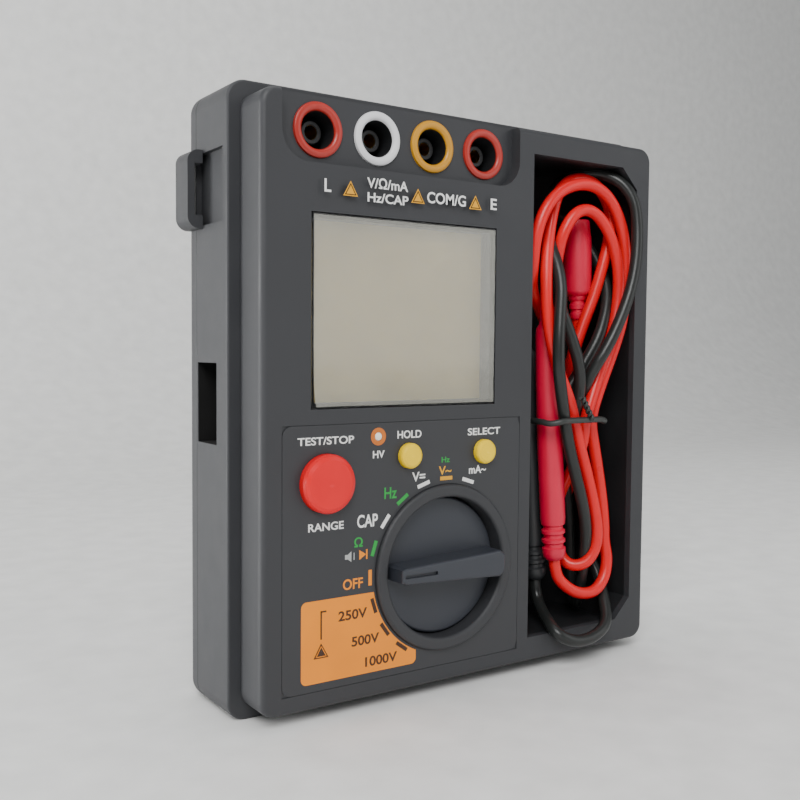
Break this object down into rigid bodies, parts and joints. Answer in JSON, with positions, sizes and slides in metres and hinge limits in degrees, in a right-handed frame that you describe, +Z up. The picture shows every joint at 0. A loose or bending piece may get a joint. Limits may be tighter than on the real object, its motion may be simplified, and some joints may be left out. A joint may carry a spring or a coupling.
{
  "type": "insulation resistance tester",
  "caption": "Handheld insulation resistance tester with selector dial, display, safety jacks and a lead tray beside the panel.",
  "frame": {"origin": "middle of the case's lower end, on the surface it stands on, halfway through its depth", "axes": "+X to the right seen from the front, +Y from the panel to the back, +Z up along the panel"},
  "size_m": [0.1748, 0.0537, 0.188],
  "materials": {
    "case_black": "moulded ABS, fine spark texture",
    "film_ink": "printed polycarbonate film",
    "lens_clear": "clear acrylic, protective film on it",
    "lcd_glass": "reflective liquid crystal glass",
    "light_guide": "white acrylic light guide",
    "frame_grey": "moulded ABS",
    "board_green": "solder mask on glass epoxy",
    "knob_black": "moulded ABS, satin",
    "steel_zinc": "zinc plated steel",
    "spring_steel": "spring wire",
    "contact_brass": "nickel on brass contacts",
    "button_red": "silicone rubber",
    "key_yellow": "silicone rubber",
    "switch_black": "tact switch body",
    "lamp_clear": "diffused lamp",
    "ring_red": "moulded nylon",
    "ring_white": "moulded nylon",
    "ring_amber": "moulded nylon",
    "jack_black": "glass filled nylon",
    "cell_wrap": "printed shrink sleeve",
    "rubber_black": "moulded rubber",
    "grip_red": "moulded PVC",
    "cable_red": "silicone jacket",
    "cable_black": "silicone jacket",
    "tip_steel": "nickel plated",
    "tie_white": "plastic covered wire",
    "module_black": "moulded component bodies"
  },
  "bodies": {
    "case": {"front_cover": "case_black", "middle_case": "case_black", "back_cover": "case_black", "door_screw": "steel_zinc", "case_screws": "steel_zinc", "board_screws": "steel_zinc", "rubber_feet": "rubber_black", "lead_tray": "jack_black", "strap_lug_left": "case_black", "strap_lug_right": "case_black", "display_window": "lens_clear", "lcd_panel": "lcd_glass", "lcd_frame": "frame_grey", "backlight_panel": "light_guide", "panel_film": "film_ink", "main_board": "board_green", "detent_spring": "spring_steel", "test_spring": "spring_steel", "test_switch": "switch_black", "key_switches": "switch_black", "hv_lamp": "lamp_clear", "jack_contacts": "contact_brass", "battery_springs": "spring_steel", "battery_plates": "steel_zinc", "red_probe": "grip_red", "red_plug": "grip_red", "red_probe_tip": "tip_steel", "black_probe_tip": "tip_steel", "black_probe": "rubber_black", "black_plug": "rubber_black", "red_lead_tail": "cable_red", "red_lead_hank": "cable_red", "black_lead_tail": "cable_black", "black_lead_hank": "cable_black", "twist_tie": "tie_white", "hv_transformer": "module_black", "hv_capacitors": "module_black", "fuse": "tip_steel", "buzzer": "module_black", "battery_1": "cell_wrap", "battery_2": "cell_wrap", "battery_3": "cell_wrap", "battery_4": "cell_wrap", "battery_5": "cell_wrap", "battery_6": "cell_wrap", "jack_ring_line": "ring_red", "jack_socket_line": "jack_black", "jack_ring_volt": "ring_white", "jack_socket_volt": "jack_black", "jack_ring_common": "ring_amber", "jack_socket_common": "jack_black", "jack_ring_earth": "ring_red", "jack_socket_earth": "jack_black"},
    "dial": {"dial_knob": "knob_black", "switch_rotor": "module_black", "rotor_wipers": "contact_brass"},
    "test_key": {"test_button": "button_red"},
    "hold_key": {"hold_button": "key_yellow"},
    "select_key": {"select_button": "key_yellow"},
    "bay_door": {"battery_door": "case_black"}
  },
  "joints": [
    {"name": "dial_turn", "type": "hinge", "parent": "case", "child": "dial", "pos_m": [-0.0136, -0.02, 0.0413], "axis": [0, 1, 0], "range_deg": [-54, 108]},
    {"name": "test_button_press", "type": "slide", "parent": "case", "child": "test_key", "axis": [0, 1, 0], "range_m": [0, 0.0015], "stiffness_N_per_m": 600, "springref_m": -0.001, "deforming": ["test_spring"]},
    {"name": "hold_button_press", "type": "slide", "parent": "case", "child": "hold_key", "axis": [0, 1, 0], "range_m": [0, 0.0008], "stiffness_N_per_m": 800, "springref_m": -0.001},
    {"name": "select_button_press", "type": "slide", "parent": "case", "child": "select_key", "axis": [0, 1, 0], "range_m": [0, 0.0008], "stiffness_N_per_m": 800, "springref_m": -0.001},
    {"name": "battery_door_slide", "type": "slide", "parent": "case", "child": "bay_door", "axis": [0, 1, 0], "range_m": [0, 0.03]}
  ]
}
